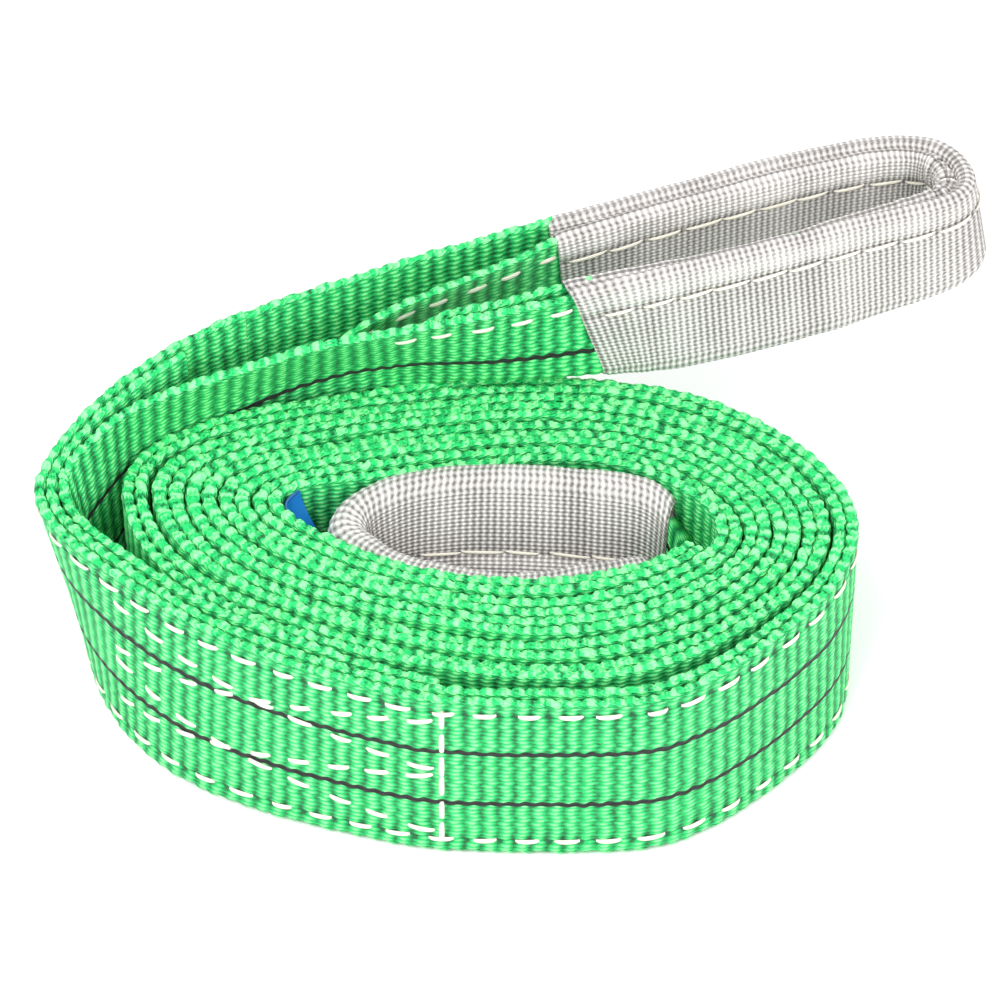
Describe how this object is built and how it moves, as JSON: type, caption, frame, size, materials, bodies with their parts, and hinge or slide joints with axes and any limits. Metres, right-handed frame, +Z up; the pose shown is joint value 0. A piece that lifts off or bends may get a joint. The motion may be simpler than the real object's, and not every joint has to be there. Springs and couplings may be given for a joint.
{
  "type": "webbing sling",
  "caption": "Flat duplex webbing lifting sling, rolled on its edges into an oval coil, with a sleeved soft eye at each end and the outer end laid over the back of the coil.",
  "frame": {"origin": "under the middle of the bounding box, on the floor that the coil stands on", "axes": "+X along the coil's long side, -Y towards the coil's front face, +Z up across the webbing's width"},
  "size_m": [0.2568, 0.1803, 0.0945],
  "materials": {
    "green_webbing": "woven polyester webbing, ribbed, slight sheen",
    "grey_sleeve": "finely ribbed woven sleeve, dull",
    "blue_label": "smooth printed film, no text",
    "white_thread": "thick polyester sewing thread"
  },
  "bodies": {
    "coil": {"outer_ply": "green_webbing", "inner_ply": "green_webbing", "splice_ply": "green_webbing", "inner_eye_strap": "green_webbing", "inner_eye_sleeve": "grey_sleeve", "label": "blue_label", "upper_edge_seam": "white_thread", "lower_edge_seam": "white_thread", "end_seam": "white_thread", "lap_seam_1": "white_thread", "lap_seam_2": "white_thread", "lap_seam_3": "white_thread", "lap_seam_4": "white_thread", "inner_sleeve_seam": "white_thread"},
    "tail": {"outer_ply_tail": "green_webbing", "inner_ply_tail": "green_webbing", "near_leg_tail": "green_webbing", "tail_edge_seam": "white_thread"},
    "eye": {"eye_strap": "green_webbing", "eye_sleeve": "grey_sleeve", "eye_sleeve_seam": "white_thread"}
  },
  "joints": [
    {"name": "tail_unroll", "type": "hinge", "parent": "coil", "child": "tail", "pos_m": [-0.11647, 0.00103, 0.06], "axis": [0, 0, 1], "range_deg": [0, 60]},
    {"name": "eye_flex", "type": "hinge", "parent": "tail", "child": "eye", "pos_m": [-0.00515, 0.03365, 0.077], "axis": [0, 0, 1], "range_deg": [-15, 15]}
  ]
}
